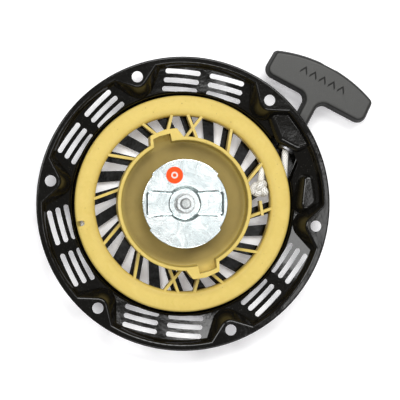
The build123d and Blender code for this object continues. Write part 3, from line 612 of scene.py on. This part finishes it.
# The reel's knot, the rope's short tail out of it, and the rope that enters it.
REEL_KNOT_REACH = 0.0076
REEL_KNOT_INSET = Vector((0.0068, 0.0070, 0.0068))
TAIL_POINTS = 30
TAIL_ROOT = Vector((-0.0036, 0.0030, 0.0022))
TAIL_BOW = Vector((-0.0022, 0.0006, 0.0006))
knot_low, knot_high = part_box("reel_knot")
knot_centre = knot_high - REEL_KNOT_INSET
tip = Vector((knot_low.x + 0.0028, knot_low.y + 0.0032, knot_high.z - 0.0026))
root = knot_centre + TAIL_ROOT
tail_line = []
for share in np.linspace(0.0, 1.0, TAIL_POINTS):
    bulge = 4.0 * share * (1.0 - share)
    tail_line.append(tuple(root.lerp(tip, share) + TAIL_BOW * bulge))
leaning = rotated(24.0, "X") @ rotated(40.0, "Z")
reel_knot = knot("reel_knot_rope", knot_centre, REEL_KNOT_REACH, leaning)
knot_tail = rope_mesh("reel_knot_rope_tail", tail_line, 32, radius=ROPE_RADIUS * TAIL_ROPE)
for piece in (reel_knot, knot_tail):
    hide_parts("reel_knot")
    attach(piece, "reel")
entry = polar(inner_lay, ENTRY_DEG, rope_z)
stub = rope_mesh("reel_entry_rope", straight(knot_centre, entry), 24)
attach(stub, "reel")

grip_knot_low, grip_knot_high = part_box("handle_knot")
grip_knot_centre = (grip_knot_low + grip_knot_high) * 0.5
GRIP_KNOT_REACH = 0.0058
along_pull = rotated(pull_deg, "Z") @ rotated(90.0, "Y")
grip_knot = knot("handle_knot_rope", grip_knot_centre, GRIP_KNOT_REACH, along_pull)
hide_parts("handle_knot")
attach(grip_knot, "handle")

# ---- Thread on the stud -------------------------------------------------

THREAD_PITCH = 0.00125
THREAD_RADIUS = 0.00378
THREAD_WIRE = 0.00034
THREAD_POINTS = 120
THREAD_IN_NUT = 0.0012  # how far below the nut's top the thread starts
THREAD_SHORT = 0.0001
post_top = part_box("centre_post")[1].z
thread_line = []
for t in np.linspace(0.0, 1.0, THREAD_POINTS):
    height = nut_top - THREAD_IN_NUT + t * (post_top - nut_top - THREAD_SHORT)
    angle_deg = 360.0 * height / THREAD_PITCH
    thread_line.append(polar(THREAD_RADIUS, angle_deg, height))
curve = bpy.data.curves.new("stud_thread", "CURVE")
curve.dimensions = "3D"
curve.bevel_depth = THREAD_WIRE
curve.bevel_resolution = 3
spline = curve.splines.new("POLY")
spline.points.add(len(thread_line) - 1)
for point, place in zip(spline.points, thread_line):
    point.co = (*place, 1.0)
curve.materials.append(nut_steel)
thread = bpy.data.objects.new("stud_thread", curve)
scene.collection.objects.link(thread)
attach(thread, "housing")

# ---- Stage --------------------------------------------------------------

FLOOR_SIZE = 24.0
FLOOR_GAP = 0.0002
floor_z = cad_bounds[0][2] - FLOOR_GAP
bpy.ops.mesh.primitive_plane_add(size=FLOOR_SIZE, location=(0.0, 0.0, floor_z))
floor = bpy.context.object
floor.name = "floor"
floor_material, _, floor_shader = new_material("pale_floor")
floor_shader.inputs["Base Color"].default_value = (0.93, 0.93, 0.93, 1.0)
floor_shader.inputs["Roughness"].default_value = 0.9
floor_shader.inputs["Specular IOR Level"].default_value = 0.1
floor_shader.inputs["Emission Color"].default_value = (0.98, 0.96, 1.0, 1.0)
floor_shader.inputs["Emission Strength"].default_value = 0.24
floor.data.materials.append(floor_material)


def area_light(name, place, target, size, power):
    """A rectangular softbox, in metres and watts, aimed at its target."""
    data = bpy.data.lights.new(name, "AREA")
    data.shape = "RECTANGLE"
    data.size, data.size_y = size
    data.energy = power
    light = bpy.data.objects.new(name, data)
    scene.collection.objects.link(light)
    way = Vector(target) - Vector(place)
    light.location = place
    light.rotation_euler = way.to_track_quat("-Z", "Y").to_euler()


# The plate's softbox is small and dim, because the plate mirrors it. The
# rim's softbox shows in the glossy pads on the cover's right.
area_light("top_softbox", (0.30, 0.92, 1.70), (0, 0, 0), (1.2, 0.85), 31.0)
area_light("plate_softbox", (0.145, 0.02, 1.8), (0.145, 0.02, 0), (0.28, 0.28), 0.295)
area_light("rim_softbox", (0.53, -0.11, 1.8), (0.53, -0.11, 0), (0.34, 0.40), 2.1)
area_light("left_softbox", (-0.85, 0.35, 1.6), (0, 0, 0), (0.6, 0.9), 14.0)
area_light("low_card", (0.15, -0.95, 1.5), (0, 0, 0), (0.9, 0.45), 9.0)

world = bpy.data.worlds.new("studio")
world.use_nodes = True
background = world.node_tree.nodes["Background"]
background.inputs["Color"].default_value = (1.0, 1.0, 1.0, 1.0)
background.inputs["Strength"].default_value = 0.16
scene.world = world
scene.view_settings.view_transform = "Standard"
scene.view_settings.look = "None"
scene.view_settings.exposure = 0.0
